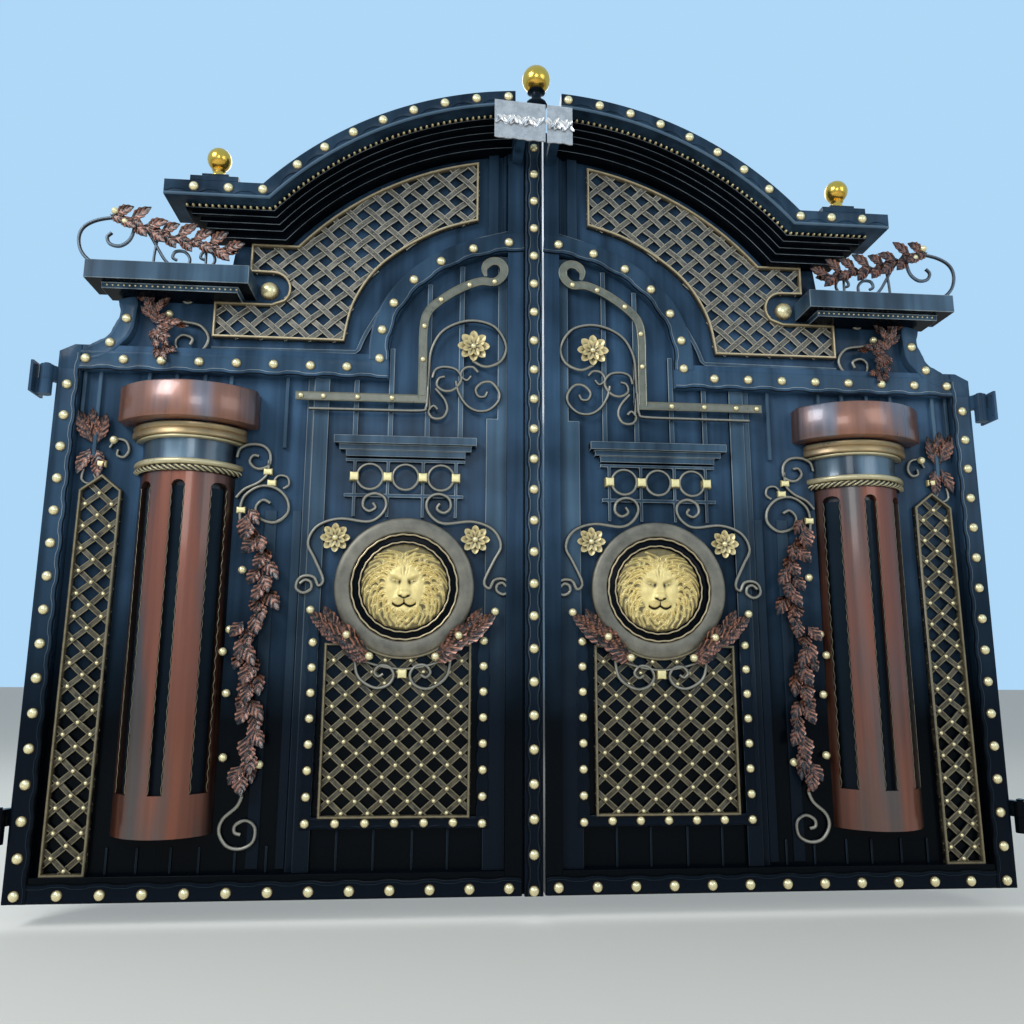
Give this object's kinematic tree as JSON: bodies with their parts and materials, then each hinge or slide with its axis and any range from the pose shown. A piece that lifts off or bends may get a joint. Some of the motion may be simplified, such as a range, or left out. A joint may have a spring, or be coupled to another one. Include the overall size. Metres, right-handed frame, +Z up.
{
  "type": "double-leaf wrought iron driveway gate",
  "caption": "Pair of outward-swinging steel gate leaves with studded borders, arched stepped cornice, lattices, columns and lion medallions, on bolt-on wall hinges.",
  "frame": {"origin": "centre of the flat back face of the left lower wall plate", "axes": "+X across the opening from the left wall to the right, +Y through the gate away from the street side, +Z up"},
  "size_m": [3.8, 0.268, 3.334],
  "materials": {
    "paint": "gloss navy-black paint",
    "brass": "pale brass-gold studs",
    "aged_gold": "dark iron rubbed with aged gold",
    "pale_gold": "bright gold paint",
    "copper": "copper-brown shaded lacquer",
    "silver": "pale silver sheet"
  },
  "bodies": {
    "wall_hinges": {"left_wall_lower": "paint", "left_wall_upper": "paint", "right_wall_lower": "paint", "right_wall_upper": "paint"},
    "left_leaf": {"left_hinge_stile": "paint", "left_meeting_stile": "paint", "left_bottom_rail": "paint", "left_top_rail": "paint", "left_arch_rail": "paint", "left_lower_sheet": "paint", "left_upper_sheet": "paint", "left_mouldings": "paint", "left_border_bands": "paint", "left_studs": "brass", "left_upper_lattice": "aged_gold", "left_side_lattice": "aged_gold", "left_lower_lattice": "aged_gold", "left_column_shaft": "copper", "left_capital": "copper", "left_medallion": "aged_gold", "left_lion_mask": "pale_gold", "left_cornice": "paint", "left_shelf": "paint", "left_scrollwork": "paint", "left_shelf_scroll": "paint", "left_leaves": "copper", "left_gold_band": "aged_gold", "left_rosettes": "aged_gold", "left_plaque": "silver", "centre_strip": "paint", "ball_finial": "pale_gold"},
    "right_leaf": {"right_hinge_stile": "paint", "right_meeting_stile": "paint", "right_bottom_rail": "paint", "right_top_rail": "paint", "right_arch_rail": "paint", "right_lower_sheet": "paint", "right_upper_sheet": "paint", "right_mouldings": "paint", "right_border_bands": "paint", "right_studs": "brass", "right_upper_lattice": "aged_gold", "right_side_lattice": "aged_gold", "right_lower_lattice": "aged_gold", "right_column_shaft": "copper", "right_capital": "copper", "right_medallion": "aged_gold", "right_lion_mask": "pale_gold", "right_cornice": "paint", "right_shelf": "paint", "right_scrollwork": "paint", "right_shelf_scroll": "paint", "right_leaves": "copper", "right_gold_band": "aged_gold", "right_rosettes": "aged_gold", "right_plaque": "silver"}
  },
  "joints": [
    {"name": "left_hinge", "type": "hinge", "parent": "wall_hinges", "child": "left_leaf", "pos_m": [0.038, 0, 0], "axis": [0, 0, -1], "range_deg": [0, 90]},
    {"name": "right_hinge", "type": "hinge", "parent": "wall_hinges", "child": "right_leaf", "pos_m": [3.762, 0, 0], "axis": [0, 0, 1], "range_deg": [0, 90]}
  ]
}
